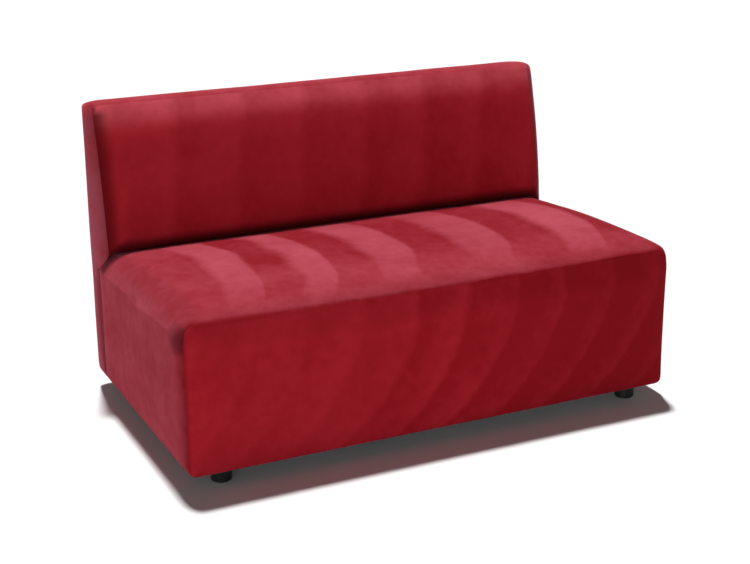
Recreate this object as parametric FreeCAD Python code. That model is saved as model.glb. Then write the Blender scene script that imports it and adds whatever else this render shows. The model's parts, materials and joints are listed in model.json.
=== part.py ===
import FreeCAD, Part
import math
import os

# Armless two-place sofa, fixed upholstery on a plywood frame, four levelling feet.
# Millimetres, +Z up, the front faces -Y. The origin is on the floor under the middle.

# Overall sizes
WIDTH = 1320.0
DEPTH = 750.0
HEIGHT = 780.0
UNDERSIDE = 34.0

# Seat form
SEAT_FRONT_HEIGHT = 418.0
SEAT_REAR_HEIGHT = 398.0
SEAT_CROWN = 12.0
SEAT_END_ROUND = 40.0
SEAT_CORNER_ROUND = 18.0
SEAT_EDGE_ROUND = 26.0
BASE_END_ROUND = 26.0
BASE_EDGE_ROUND = 12.0

# Back form: depth is behind its joint with the seat, reach is ahead of that joint at the seat,
# setback is behind it at the top
BACK_DEPTH = 82.0
BACK_REACH = 48.0
BACK_SETBACK = 30.0
BACK_CROWN = 10.0
BACK_SIDE_ROUND = 20.0
BACK_TOP_ROUND = 28.0
BACK_END_ROUND = 30.0
BACK_LIP_ROUND = 12.0
LEAST_ROUND = 2.0
ROUND_STEPS = 4

# Upholstery layers
COVER = 3.0
WADDING = 10.0
PAD = 10.0
TOP_PAD = 25.0
TOP_FOAM = 11.0
FELT = 4.0
BOARD = 3.0
BOARD_INSET = 10.0
DUST_COVER = 1.0
SOFT_GAP = 0.4
SEAT_RETURN = 30.0
BACK_RETURN = 25.0
SEAT_SEAM = 4.0
BACK_SEAM = 8.0

# Frame timber
RAIL = 18.0
SEAT_RAIL_HEIGHT = 190.0
MIDDLE_RAIL_HEIGHT = 150.0
BACK_RAIL_HEIGHT = 180.0
TACKING_RAIL_HEIGHT = 70.0
TOP_RAIL_HEIGHT = 80.0
KINK_RISE = 20.0
FRAME_EASE = 16.0
BLOCK_LENGTH = 110.0
BLOCK_WIDTH = 100.0
BLOCK_HEIGHT = 40.0

# Seat springs
SPRINGS = 8
SPRING_END_INSET = 103.0
SPRING_BARS = 26
SPRING_HALF_WIDTH = 24.0
WIRE = 3.8
WIRE_PLAY = 0.2
CLIP_SHEET = 1.5
CLIP_LENGTH = 16.0
CLIP_WIDTH = 14.0

# Back webbing
STRAP = 2.0
STRAP_WIDTH = 50.0
STRAP_GAP = 22.0
STRAP_MARGIN = 27.0

# Frame bolts
BOLT = 8.0
BOLT_HOLE = 9.0
BOLT_HEAD = 13.0
BOLT_HEAD_HEIGHT = 5.5
BOLT_SPARE = 4.0
BOLT_COLUMNS = 4
BOLT_BLOCK_INSET = 38.0
BOLT_ROWS = (40.0, 150.0)
WASHER = 24.0
WASHER_SHEET = 1.6
TEE_FLANGE = 20.0
TEE_SHEET = 2.0
TEE_BARREL = 11.0
TEE_DEPTH = 12.0
THREAD_PLAY = 0.1
PRESS_PLAY = 0.05

# Levelling feet
FOOT = 50.0
FOOT_BASE_ROUND = 6.0
FOOT_TOP_ROUND = 2.0
FOOT_END_INSET = 95.0
FOOT_FRONT_INSET = 45.0
FOOT_REAR_SET = 19.0
FOOT_BOSS = 20.0
FOOT_PLAY = 0.3
STEM = 8.0
STEM_SET = 22.0
STEM_SPARE = 14.0
BOSS_HOLE = 24.0

# Planes worked out from the sizes above
END = WIDTH / 2
FRONT = -DEPTH / 2
REAR = DEPTH / 2
JOINT = REAR - BACK_DEPTH
SEAT_DEPTH = JOINT - FRONT
SKIN = COVER + SOFT_GAP
CORE = SKIN + WADDING + SOFT_GAP
FRAME_IN = SKIN + PAD + SOFT_GAP
FRAME_END = END - FRAME_IN
FRAME_FRONT = FRONT + FRAME_IN
FRAME_LOW = UNDERSIDE + SKIN
FRAME_TOP = HEIGHT - SKIN - TOP_PAD - SOFT_GAP
INNER_END = FRAME_END - RAIL
INNER_FRONT = FRAME_FRONT + RAIL
INNER_REAR = JOINT - RAIL
RAIL_TOP = FRAME_LOW + SEAT_RAIL_HEIGHT
BOLT_PITCH = 2 * (INNER_END - BLOCK_LENGTH - BOLT_BLOCK_INSET) / (BOLT_COLUMNS - 1)
SPRING_PITCH = 2 * (INNER_END - SPRING_END_INSET) / (SPRINGS - 1)
WIRE_Z = RAIL_TOP + CLIP_SHEET + WIRE_PLAY + WIRE / 2
CLIP_TOP = WIRE_Z + WIRE / 2 + WIRE_PLAY + CLIP_SHEET
FELT_LOW = CLIP_TOP + SOFT_GAP
DECK = FELT_LOW + FELT + SOFT_GAP
BOARD_FRONT = REAR - SKIN - BOARD
KINK = SEAT_REAR_HEIGHT + KINK_RISE
POST_TOP = JOINT + BACK_SETBACK + SKIN + TOP_FOAM
STRAP_PITCH = STRAP_WIDTH + STRAP_GAP
STRAP_LOW = KINK + STRAP_MARGIN
STRAPS = int((FRAME_TOP - STRAP_LOW - STRAP_MARGIN + STRAP_GAP) // STRAP_PITCH)
BACK_INNER = JOINT + RAIL
DUST_TOP = UNDERSIDE - SOFT_GAP
BLOCK_TOP = FRAME_LOW + BLOCK_HEIGHT
FOOT_TOP = DUST_TOP - DUST_COVER - FOOT_PLAY
BOSS_TOP = FRAME_LOW - FOOT_PLAY
FOOT_X = END - FOOT_END_INSET
FOOT_FRONT_Y = FRONT + FOOT_FRONT_INSET
FOOT_REAR_Y = BACK_INNER + FOOT_REAR_SET
FOOT_NAMES = ("front_left", "front_right", "rear_left", "rear_right")
FOOT_SPOTS = tuple((x, y) for y in (FOOT_FRONT_Y, FOOT_REAR_Y) for x in (-FOOT_X, FOOT_X))


def vec(x, y, z):
    return FreeCAD.Vector(x, y, z)


def save(name, shape):
    shape.exportStep("parts/" + name + ".step")


def one(shape):
    # The single solid that a cut or a common leaves
    return max(shape.Solids, key=lambda s: s.Volume)


def block(x0, x1, y0, y1, z0, z1):
    return Part.makeBox(x1 - x0, y1 - y0, z1 - z0, vec(x0, y0, z0))


def rod_y(x, y0, y1, z, width):
    return Part.makeCylinder(width / 2, y1 - y0, vec(x, y0, z), vec(0, 1, 0))


def rod_z(x, y, z0, z1, width):
    return Part.makeCylinder(width / 2, z1 - z0, vec(x, y, z0), vec(0, 0, 1))


def end_prism(points, x0, x1):
    # Straight-sided outline in Y and Z, run from end to end
    ring = [vec(x0, y, z) for y, z in points]
    return Part.Face(Part.makePolygon(ring + ring[:1])).extrude(vec(x1 - x0, 0, 0))


def mirrored(shape):
    return shape.mirror(vec(0, 0, 0), vec(1, 0, 0))


# Soft outlines


def line(x, a, b):
    return Part.LineSegment(vec(x, *a), vec(x, *b)).toShape()


def bow(x, a, b, rise):
    # Arc from a to b that stands off its chord by the rise, to the left of the way a to b
    dy = b[0] - a[0]
    dz = b[1] - a[1]
    span = math.hypot(dy, dz)
    middle = ((a[0] + b[0]) / 2 - dz / span * rise, (a[1] + b[1]) / 2 + dy / span * rise)
    return Part.Arc(vec(x, *a), vec(x, *middle), vec(x, *b)).toShape()


def on_round(centre, radius, degrees):
    turn = math.radians(degrees)
    return (centre[0] + radius * math.cos(turn), centre[1] + radius * math.sin(turn))


def corner(x, centre, radius, start, stop):
    ends = [on_round(centre, radius, a) for a in (start, (start + stop) / 2, stop)]
    return Part.Arc(*[vec(x, *p) for p in ends]).toShape()


def end_inset(run, radius):
    # How far a rounded end draws an edge in, at a run from the end
    if run >= radius:
        return 0.0
    return radius - math.sqrt(radius ** 2 - (radius - run) ** 2)


def seat_section(x, run, inset):
    draw = end_inset(run, SEAT_CORNER_ROUND - inset)
    drop = end_inset(run, SEAT_END_ROUND - inset)
    low = UNDERSIDE + inset + end_inset(run, BASE_END_ROUND - inset)
    front = FRONT + inset + draw
    top = SEAT_FRONT_HEIGHT - inset - drop
    rear_top = SEAT_REAR_HEIGHT - inset - drop
    edge = max(SEAT_EDGE_ROUND - inset - draw, LEAST_ROUND)
    base = max(BASE_EDGE_ROUND - inset, LEAST_ROUND)
    return Part.Wire([
        line(x, (JOINT, low), (JOINT, rear_top)),
        bow(x, (JOINT, rear_top), (front + edge, top), -SEAT_CROWN),
        corner(x, (front + edge, top - edge), edge, 90, 180),
        line(x, (front, top - edge), (front, low + base)),
        corner(x, (front + base, low + base), base, 180, 270),
        line(x, (front + base, low), (JOINT, low)),
    ])


def seat_height_at(y):
    # Height of the crowned seat top at a depth
    run = (JOINT - y) / (SEAT_DEPTH - SEAT_EDGE_ROUND)
    rise = (SEAT_FRONT_HEIGHT - SEAT_REAR_HEIGHT) * run
    return SEAT_REAR_HEIGHT + rise + 4 * SEAT_CROWN * run * (1 - run)


LIP_REAR = SEAT_REAR_HEIGHT + SOFT_GAP
LIP_FRONT = seat_height_at(JOINT - BACK_REACH) + SOFT_GAP
LEAN = math.degrees(math.atan2(BACK_REACH + BACK_SETBACK, HEIGHT - BACK_TOP_ROUND - LIP_FRONT))
BOW_TURN = math.degrees(math.atan2(4 * BACK_CROWN, HEIGHT - BACK_TOP_ROUND - LIP_FRONT))


def back_front(inset, draw, top, lip):
    # Rounds at the two ends of the inside back: centre and radius of the top one and the lip
    upper = JOINT + BACK_SETBACK + inset + draw
    lower = JOINT - BACK_REACH + inset + draw
    room = (REAR - inset - draw - upper) / 2 - LEAST_ROUND / 2
    top_round = min(BACK_TOP_ROUND - inset, room)
    lip_round = max(BACK_LIP_ROUND - inset, LEAST_ROUND)
    top_centre = (upper + top_round, top - top_round)
    lip_centre = (lower + lip_round, lip + lip_round)
    return top_centre, top_round, lip_centre, lip_round


def back_section(x, run, inset):
    draw = end_inset(run, BACK_SIDE_ROUND - inset)
    top = HEIGHT - inset - end_inset(run, BACK_END_ROUND - inset)
    low = UNDERSIDE + inset + end_inset(run, BASE_END_ROUND - inset)
    tuck = inset + end_inset(run, BACK_LIP_ROUND - inset)
    rear = REAR - inset - draw
    base = max(BASE_EDGE_ROUND - inset, LEAST_ROUND)
    head, head_round, lip, lip_round = back_front(inset, draw, top, LIP_FRONT + tuck)
    high_front = on_round(head, head_round, 180 - LEAN - BOW_TURN)
    low_front = on_round(lip, lip_round, 180 - LEAN + BOW_TURN)
    return Part.Wire([
        line(x, (JOINT, low), (rear - base, low)),
        corner(x, (rear - base, low + base), base, 270, 360),
        line(x, (rear, low + base), (rear, top - head_round)),
        corner(x, (rear - head_round, top - head_round), head_round, 0, 90),
        line(x, (rear - head_round, top), (head[0], top)),
        corner(x, head, head_round, 90, 180 - LEAN - BOW_TURN),
        bow(x, high_front, low_front, -BACK_CROWN),
        corner(x, lip, lip_round, 180 - LEAN + BOW_TURN, 270),
        line(x, (lip[0], lip[1] - lip_round), (JOINT, LIP_REAR + tuck)),
        line(x, (JOINT, LIP_REAR + tuck), (JOINT, low)),
    ])


def soft_body(section, end_round, inset):
    # Loft from end to end, with sections close together where the ends round off
    radius = end_round - inset
    runs = [radius * (1 - math.cos(math.pi / 2 * k / ROUND_STEPS)) for k in range(ROUND_STEPS + 1)]
    left = [section(inset + run - END, run, inset) for run in runs]
    right = [section(END - inset - run, run, inset) for run in reversed(runs)]
    return Part.makeLoft(left + right, True, True)


def seat_body(inset):
    return soft_body(seat_section, SEAT_END_ROUND, inset)


def back_body(inset):
    return soft_body(back_section, BACK_END_ROUND, inset)


# Levelling feet and what they screw into


def foot(x, y):
    half = FOOT / 2
    base = FOOT_BASE_ROUND
    brow = FOOT_TOP_ROUND
    boss = FOOT_BOSS / 2
    bore = STEM / 2 + PRESS_PLAY
    floor = FOOT_TOP - STEM_SET
    ring = [
        line(0, (0, 0), (half - base, 0)),
        corner(0, (half - base, base), base, 270, 360),
        line(0, (half, base), (half, FOOT_TOP - brow)),
        corner(0, (half - brow, FOOT_TOP - brow), brow, 0, 90),
        line(0, (half - brow, FOOT_TOP), (boss, FOOT_TOP)),
        line(0, (boss, FOOT_TOP), (boss, BOSS_TOP)),
        line(0, (boss, BOSS_TOP), (bore, BOSS_TOP)),
        line(0, (bore, BOSS_TOP), (bore, floor)),
        line(0, (bore, floor), (0, floor)),
        line(0, (0, floor), (0, 0)),
    ]
    solid = Part.Face(Part.Wire(ring)).revolve(vec(0, 0, 0), vec(0, 0, 1), 360)
    return solid.translated(vec(x, y, 0))


def foot_stem(x, y):
    return rod_z(x, y, FOOT_TOP - STEM_SET, BLOCK_TOP + TEE_SHEET + STEM_SPARE, STEM)


def tee_nut_z(x, y):
    plate = rod_z(x, y, BLOCK_TOP, BLOCK_TOP + TEE_SHEET, TEE_FLANGE)
    barrel = rod_z(x, y, BLOCK_TOP - TEE_DEPTH, BLOCK_TOP, TEE_BARREL)
    bore = rod_z(x, y, BLOCK_TOP - TEE_DEPTH, BLOCK_TOP + TEE_SHEET, STEM + 2 * THREAD_PLAY)
    return one(plate.fuse(barrel).cut(bore).removeSplitter())


def stem_hole(x, y):
    shaft = rod_z(x, y, FRAME_LOW, BLOCK_TOP, BOLT_HOLE)
    seat = rod_z(x, y, BLOCK_TOP - TEE_DEPTH - SOFT_GAP, BLOCK_TOP, TEE_BARREL + 2 * PRESS_PLAY)
    return shaft.fuse(seat)


def save_feet():
    nuts = []
    for name, (x, y) in zip(FOOT_NAMES, FOOT_SPOTS):
        save("foot_" + name, foot(x, y))
        save("foot_stem_" + name, foot_stem(x, y))
        nuts.append(tee_nut_z(x, y))
    save("foot_tee_nuts", Part.makeCompound(nuts))


# Bolts that hold the back on the seat


def bolt_spots():
    first = -(BOLT_COLUMNS - 1) / 2 * BOLT_PITCH
    columns = [first + k * BOLT_PITCH for k in range(BOLT_COLUMNS)]
    return [(x, FRAME_LOW + rise) for x in columns for rise in BOLT_ROWS]


def bolt(x, z):
    face = INNER_REAR - WASHER_SHEET
    radius = BOLT_HEAD / math.sqrt(3)
    turns = [math.radians(60 * k) for k in range(7)]
    ring = [vec(x + radius * math.cos(a), face - BOLT_HEAD_HEIGHT, z + radius * math.sin(a)) for a in turns]
    head = Part.Face(Part.makePolygon(ring)).extrude(vec(0, BOLT_HEAD_HEIGHT, 0))
    shank = rod_y(x, face, BACK_INNER + TEE_SHEET + BOLT_SPARE, z, BOLT)
    return one(head.fuse(shank).removeSplitter())


def washer(x, z):
    disc = rod_y(x, INNER_REAR - WASHER_SHEET, INNER_REAR, z, WASHER)
    return disc.cut(rod_y(x, INNER_REAR - WASHER_SHEET, INNER_REAR, z, BOLT_HOLE))


def tee_nut_y(x, z):
    plate = rod_y(x, BACK_INNER, BACK_INNER + TEE_SHEET, z, TEE_FLANGE)
    barrel = rod_y(x, BACK_INNER - TEE_DEPTH, BACK_INNER, z, TEE_BARREL)
    bore = rod_y(x, BACK_INNER - TEE_DEPTH, BACK_INNER + TEE_SHEET, z, BOLT + 2 * THREAD_PLAY)
    return one(plate.fuse(barrel).cut(bore).removeSplitter())


def save_bolts():
    spots = bolt_spots()
    save("frame_bolts", Part.makeCompound([bolt(x, z) for x, z in spots]))
    save("frame_bolt_washers", Part.makeCompound([washer(x, z) for x, z in spots]))
    save("frame_tee_nuts", Part.makeCompound([tee_nut_y(x, z) for x, z in spots]))


# Frames


def is_low_end(edge):
    # True for the two long low edges that run from front to rear
    centre = edge.BoundBox.Center
    return edge.BoundBox.YLength > DEPTH / 2 and centre.z < FRAME_LOW + FRAME_EASE


def eased(shape):
    # Rounds the low outer corners of a frame member, so that the cover bends round them
    hull = block(-FRAME_END, FRAME_END, FRONT, REAR, FRAME_LOW, HEIGHT)
    low_ends = [e for e in hull.Edges if is_low_end(e)]
    return one(shape.common(hull.makeFillet(FRAME_EASE, low_ends)))


def corner_block(y, toward):
    # Three-cornered block in the left corner of the seat frame
    ring = [vec(-INNER_END, y, FRAME_LOW), vec(BLOCK_LENGTH - INNER_END, y, FRAME_LOW)]
    ring.append(vec(-INNER_END, y + toward * BLOCK_WIDTH, FRAME_LOW))
    return Part.Face(Part.makePolygon(ring + ring[:1])).extrude(vec(0, 0, BLOCK_HEIGHT))


def save_seat_frame():
    front = block(-FRAME_END, FRAME_END, FRAME_FRONT, INNER_FRONT, FRAME_LOW, RAIL_TOP)
    rear = block(-FRAME_END, FRAME_END, INNER_REAR, JOINT, FRAME_LOW, RAIL_TOP)
    for x, z in bolt_spots():
        rear = rear.cut(rod_y(x, INNER_REAR, JOINT, z, BOLT_HOLE))
    left = eased(block(-FRAME_END, -INNER_END, INNER_FRONT, INNER_REAR, FRAME_LOW, RAIL_TOP))
    middle_top = FRAME_LOW + MIDDLE_RAIL_HEIGHT
    middle = block(-RAIL / 2, RAIL / 2, INNER_FRONT, INNER_REAR, FRAME_LOW, middle_top)
    front_block = corner_block(INNER_FRONT, 1).cut(stem_hole(-FOOT_X, FOOT_FRONT_Y))
    rear_block = corner_block(INNER_REAR, -1)
    save("seat_front_rail", eased(front))
    save("seat_rear_rail", eased(rear))
    save("seat_left_rail", left)
    save("seat_right_rail", mirrored(left))
    save("seat_middle_rail", middle)
    save("seat_front_left_block", front_block)
    save("seat_front_right_block", mirrored(front_block))
    save("seat_rear_left_block", rear_block)
    save("seat_rear_right_block", mirrored(rear_block))


def rear_heel():
    # Two corners of the bevel that clears the rounded lower edge of the rear cover
    return [(REAR - BASE_EDGE_ROUND, FRAME_LOW), (BOARD_FRONT, UNDERSIDE + BASE_EDGE_ROUND)]


def post_outline():
    return [
        (JOINT, FRAME_LOW),
        *rear_heel(),
        (BOARD_FRONT, FRAME_TOP),
        (POST_TOP, FRAME_TOP),
        (JOINT, KINK),
    ]


def back_rails():
    bottom = block(-INNER_END, INNER_END, JOINT, BACK_INNER, FRAME_LOW, FRAME_LOW + BACK_RAIL_HEIGHT)
    tacking_low = SEAT_REAR_HEIGHT - TACKING_RAIL_HEIGHT
    tacking = block(-INNER_END, INNER_END, JOINT, BACK_INNER, tacking_low, SEAT_REAR_HEIGHT)
    top_low = FRAME_TOP - TOP_RAIL_HEIGHT
    top = block(-INNER_END, INNER_END, BOARD_FRONT - RAIL, BOARD_FRONT, top_low, FRAME_TOP)
    return bottom, tacking, top


def save_back_frame():
    bottom, tacking, top = back_rails()
    left = eased(end_prism(post_outline(), -FRAME_END, -INNER_END))
    middle = end_prism(post_outline(), -RAIL / 2, RAIL / 2)
    for rail in (bottom, tacking, top):
        middle = middle.cut(rail)
    for x, z in bolt_spots():
        bottom = bottom.cut(rod_y(x, JOINT, BACK_INNER, z, BOLT_HOLE))
        pocket = TEE_DEPTH + SOFT_GAP
        bottom = bottom.cut(rod_y(x, BACK_INNER - pocket, BACK_INNER, z, TEE_BARREL + 2 * PRESS_PLAY))
    inner = BLOCK_LENGTH - INNER_END
    block_ring = [(BACK_INNER, FRAME_LOW), *rear_heel(), (BOARD_FRONT, BLOCK_TOP), (BACK_INNER, BLOCK_TOP)]
    foot_block = end_prism(block_ring, -INNER_END, inner).cut(stem_hole(-FOOT_X, FOOT_REAR_Y))
    board_end = FRAME_END - BOARD_INSET
    board_low = FRAME_LOW + BOARD_INSET
    board = block(-board_end, board_end, BOARD_FRONT, BOARD_FRONT + BOARD, board_low, FRAME_TOP)
    save("back_left_post", left)
    save("back_right_post", mirrored(left))
    save("back_middle_post", one(middle))
    save("back_bottom_rail", bottom)
    save("back_tacking_rail", tacking)
    save("back_top_rail", top)
    save("back_left_foot_block", foot_block)
    save("back_right_foot_block", mirrored(foot_block))
    save("back_rear_board", board)


# Springs and webbing


def spring(x):
    # Zigzag wire from the front rail to the rear rail: bars across, joined by half turns
    first = FRAME_FRONT + RAIL / 2
    step = (JOINT - RAIL / 2 - first) / (SPRING_BARS - 1)
    reach = SPRING_HALF_WIDTH - step / 2
    edges = []
    for k in range(SPRING_BARS):
        y = first + k * step
        side = 1 if k % 2 == 0 else -1
        edges.append(Part.LineSegment(vec(x - side * reach, y, WIRE_Z), vec(x + side * reach, y, WIRE_Z)))
        if k < SPRING_BARS - 1:
            top = vec(x + side * SPRING_HALF_WIDTH, y + step / 2, WIRE_Z)
            ends = (vec(x + side * reach, y, WIRE_Z), vec(x + side * reach, y + step, WIRE_Z))
            edges.append(Part.Arc(ends[0], top, ends[1]))
    path = Part.Wire([edge.toShape() for edge in edges])
    ring = Part.makeCircle(WIRE / 2, vec(x - reach, first, WIRE_Z), vec(1, 0, 0))
    return path.makePipeShell([Part.Wire(ring)], True, False)


def spring_clip(x, y):
    half = CLIP_WIDTH / 2
    reach = CLIP_LENGTH / 2
    plate = block(x - half, x + half, y - reach, y + reach, RAIL_TOP, RAIL_TOP + CLIP_SHEET)
    loop = Part.makeCylinder(CLIP_TOP - WIRE_Z, CLIP_WIDTH, vec(x - half, y, WIRE_Z), vec(1, 0, 0))
    eye = Part.makeCylinder(WIRE / 2 + WIRE_PLAY, CLIP_WIDTH, vec(x - half, y, WIRE_Z), vec(1, 0, 0))
    return one(plate.fuse(loop).cut(eye).removeSplitter())


def save_springs():
    clips = []
    for k in range(SPRINGS):
        x = (k - (SPRINGS - 1) / 2) * SPRING_PITCH
        save("seat_spring_" + str(k + 1), spring(x))
        clips.append(spring_clip(x, FRAME_FRONT + RAIL / 2))
        clips.append(spring_clip(x, JOINT - RAIL / 2))
    save("seat_spring_clips", Part.makeCompound(clips))
    felt = block(-FRAME_END, FRAME_END, FRAME_FRONT, JOINT - SOFT_GAP, FELT_LOW, FELT_LOW + FELT)
    save("seat_felt", felt)


def post_front(z):
    # Depth of the leaning front edge of the back posts at a height
    return JOINT + (POST_TOP - JOINT) * (z - KINK) / (FRAME_TOP - KINK)


def save_straps():
    for k in range(STRAPS):
        low = STRAP_LOW + k * STRAP_PITCH
        high = low + STRAP_WIDTH
        a = post_front(low)
        b = post_front(high)
        ring = [(a, low), (b, high), (b - STRAP, high), (a - STRAP, low)]
        save("back_webbing_strap_" + str(k + 1), end_prism(ring, -FRAME_END, FRAME_END))


# Foam, wadding and pads


def save_seat_padding():
    skin = seat_body(SKIN)
    pad = SKIN + PAD
    above = block(-END, END, FRONT, JOINT - SOFT_GAP, DECK, HEIGHT)
    front = block(-END, END, FRONT, FRONT + pad, 0, DECK - SOFT_GAP)
    left = block(-END, pad - END, FRAME_FRONT, JOINT - SOFT_GAP, 0, DECK - SOFT_GAP)
    left_pad = one(skin.common(left))
    save("seat_foam", one(seat_body(CORE).common(above)))
    save("seat_wadding", one(skin.common(above).cut(seat_body(CORE - SOFT_GAP))))
    save("seat_front_pad", one(skin.common(front)))
    save("seat_left_pad", left_pad)
    save("seat_right_pad", mirrored(left_pad))


def save_back_padding():
    skin = back_body(SKIN)
    clear = STRAP + SOFT_GAP
    sky = HEIGHT + COVER
    ahead = JOINT - 2 * BACK_REACH
    low = SEAT_REAR_HEIGHT - COVER
    foam_ring = [(ahead, sky), (ahead, low), (JOINT - clear, low), (JOINT - clear, KINK)]
    foam_ring.append((post_front(sky) - clear, sky))
    side_ring = [(POST_TOP, FRAME_TOP), (JOINT, KINK), (JOINT, UNDERSIDE)]
    side_ring += [(REAR, UNDERSIDE), (REAR, FRAME_TOP)]
    brow = FRAME_TOP + SOFT_GAP
    top_ring = [(post_front(brow), brow), (REAR, brow), (REAR, sky), (post_front(sky), sky)]
    left_pad = one(skin.common(end_prism(side_ring, -END, SKIN + PAD - END)))
    save("back_foam", one(skin.common(end_prism(foam_ring, -END, END))))
    save("back_left_pad", left_pad)
    save("back_right_pad", mirrored(left_pad))
    save("back_top_pad", one(skin.common(end_prism(top_ring, -END, END))))


# Covers


def save_seat_covers():
    shell = seat_body(0).cut(seat_body(COVER))
    bend = UNDERSIDE + COVER + SOFT_GAP
    inner = END - SEAT_RETURN
    shell = shell.cut(block(-inner, inner, FRONT + SEAT_RETURN, JOINT, 0, bend))
    for x, y in FOOT_SPOTS[:2]:
        shell = shell.cut(rod_z(x, y, 0, bend, BOSS_HOLE))
    border = block(-END, END, FRONT, FRONT + SEAT_SEAM, 0, HEIGHT)
    hem = block(-inner, inner, FRONT, FRONT + SEAT_RETURN, 0, UNDERSIDE + BASE_EDGE_ROUND)
    border = border.fuse(hem)
    save("seat_front_cover", one(shell.common(border)))
    save("seat_top_cover", one(shell.cut(border)))


def back_panel_zone():
    # Room that the inside back panel takes, as far as its seam with the boxing
    head, head_round, lip, lip_round = back_front(0, 0, HEIGHT, LIP_FRONT)
    high = on_round(head, head_round, 180 - LEAN - BOW_TURN)
    low = on_round(lip, lip_round, 180 - LEAN + BOW_TURN)
    seam_high = (high[0] + BACK_SEAM, high[1])
    seam_low = (low[0] + BACK_SEAM, low[1])
    ahead = JOINT - 2 * BACK_REACH
    sky = HEIGHT + COVER
    under = LIP_FRONT + COVER + SOFT_GAP
    stops = [seam_low, (seam_low[0], under), (JOINT, under), (JOINT, LIP_REAR - COVER)]
    stops += [(ahead, LIP_REAR - COVER), (ahead, sky), (seam_high[0], sky), seam_high]
    edges = [line(-END, a, b) for a, b in zip(stops, stops[1:])]
    edges.append(bow(-END, seam_high, seam_low, -BACK_CROWN))
    return Part.Face(Part.Wire(edges)).extrude(vec(WIDTH, 0, 0))


def save_back_covers():
    shell = back_body(0).cut(back_body(COVER))
    bend = UNDERSIDE + COVER + SOFT_GAP
    inner = END - SEAT_RETURN
    shell = shell.cut(block(-inner, inner, JOINT, REAR - BACK_RETURN, 0, bend))
    panel = back_panel_zone()
    outside = block(-END, END, REAR - SEAT_SEAM, REAR, 0, HEIGHT)
    hem = block(-inner, inner, REAR - BACK_RETURN, REAR, 0, UNDERSIDE + BASE_EDGE_ROUND)
    outside = outside.fuse(hem)
    save("back_front_cover", one(shell.common(panel)))
    save("back_rear_cover", one(shell.common(outside)))
    save("back_boxing_cover", one(shell.cut(panel).cut(outside)))


def save_dust_cover():
    end = END - BASE_END_ROUND - COVER
    edge = BASE_EDGE_ROUND + COVER
    sheet = block(-end, end, FRONT + edge, REAR - edge, DUST_TOP - DUST_COVER, DUST_TOP)
    for x, y in FOOT_SPOTS:
        sheet = sheet.cut(rod_z(x, y, 0, FRAME_LOW, BOSS_HOLE))
    save("dust_cover", sheet)


os.makedirs("parts", exist_ok=True)
save_seat_frame()
save_back_frame()
save_springs()
save_straps()
save_seat_padding()
save_back_padding()
save_seat_covers()
save_back_covers()
save_dust_cover()
save_bolts()
save_feet()
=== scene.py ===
import json
import math

import bmesh
import bpy
import numpy as np
from mathutils import Matrix, Vector, geometry, kdtree, noise


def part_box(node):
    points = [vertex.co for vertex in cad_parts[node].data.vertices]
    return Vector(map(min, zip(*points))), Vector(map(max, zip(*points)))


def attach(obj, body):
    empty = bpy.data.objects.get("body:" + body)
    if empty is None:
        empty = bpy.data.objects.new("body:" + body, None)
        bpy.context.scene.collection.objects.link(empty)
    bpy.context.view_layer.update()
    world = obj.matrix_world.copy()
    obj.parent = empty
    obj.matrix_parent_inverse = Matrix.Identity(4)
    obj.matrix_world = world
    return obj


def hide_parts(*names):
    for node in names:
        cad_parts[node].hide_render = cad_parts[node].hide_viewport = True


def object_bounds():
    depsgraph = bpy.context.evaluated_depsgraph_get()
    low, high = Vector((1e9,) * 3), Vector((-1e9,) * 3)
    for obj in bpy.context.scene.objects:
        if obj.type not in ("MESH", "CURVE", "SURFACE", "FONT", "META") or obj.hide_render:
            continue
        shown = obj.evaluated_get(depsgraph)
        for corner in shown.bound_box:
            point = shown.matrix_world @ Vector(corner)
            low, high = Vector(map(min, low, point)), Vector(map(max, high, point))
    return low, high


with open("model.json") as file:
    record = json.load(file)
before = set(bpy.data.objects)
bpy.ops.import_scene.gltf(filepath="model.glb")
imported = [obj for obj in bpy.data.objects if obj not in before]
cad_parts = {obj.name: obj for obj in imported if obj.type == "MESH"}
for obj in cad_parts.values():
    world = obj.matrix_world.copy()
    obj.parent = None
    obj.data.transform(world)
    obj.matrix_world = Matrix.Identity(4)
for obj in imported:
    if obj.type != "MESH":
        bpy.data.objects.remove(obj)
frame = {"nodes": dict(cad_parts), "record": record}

# Armless sofa in brushed red velvet: upholstery, feet, hidden frame, studio and camera.
# Metres, +Z up, the front faces -Y, the floor is at zero.

CAD_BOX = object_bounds()

# Planes taken from the frame
END = CAD_BOX[1].x
FRONT = CAD_BOX[0].y
REAR = CAD_BOX[1].y
HEIGHT = CAD_BOX[1].z
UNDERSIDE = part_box("seat_front_cover")[0][2]
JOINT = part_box("seat_top_cover")[1][1]
SHEET_LOW, SHEET_HIGH = [Vector(c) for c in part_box("dust_cover")]

# Seat form
SEAT_FRONT_TOP = 0.420
SEAT_REAR_TOP = 0.388
SEAT_CROWN = 0.015
SEAT_END_ROUND = 0.040
SEAT_CORNER_ROUND = 0.018
SEAT_EDGE_ROUND = 0.026
SEAT_REAR_ROUND = 0.010
BASE_END_ROUND = 0.024
BASE_EDGE_ROUND = 0.012

# Sag of the seat's front edge and waver of its seam: how much, and where they start and are full
FRONT_DIP = 0.007
DIP_NONE_Y, DIP_FULL_Y = FRONT + 0.16, FRONT + 0.02
DIP_NONE_Z, DIP_FULL_Z = 0.22, 0.39
SEAM_WAVE = 0.003
SEAM_WAVE_RATE = 9.0
SEAM_WAVE_ROW = 0.3
SEAM_NONE_Y, SEAM_NONE_Z = FRONT + 0.06, 0.30

# Back form
BACK_REACH = 0.048
BACK_SETBACK = 0.023
BACK_CROWN = 0.010
BACK_SIDE_ROUND = 0.027
BACK_REAR_ROUND = 0.015
BACK_TOP_ROUND = 0.028
BACK_END_ROUND = 0.045
BACK_END_DROP = 0.012
BACK_BASE_ROUND = 0.024
BACK_JOINT_ROUND = 0.010

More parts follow.
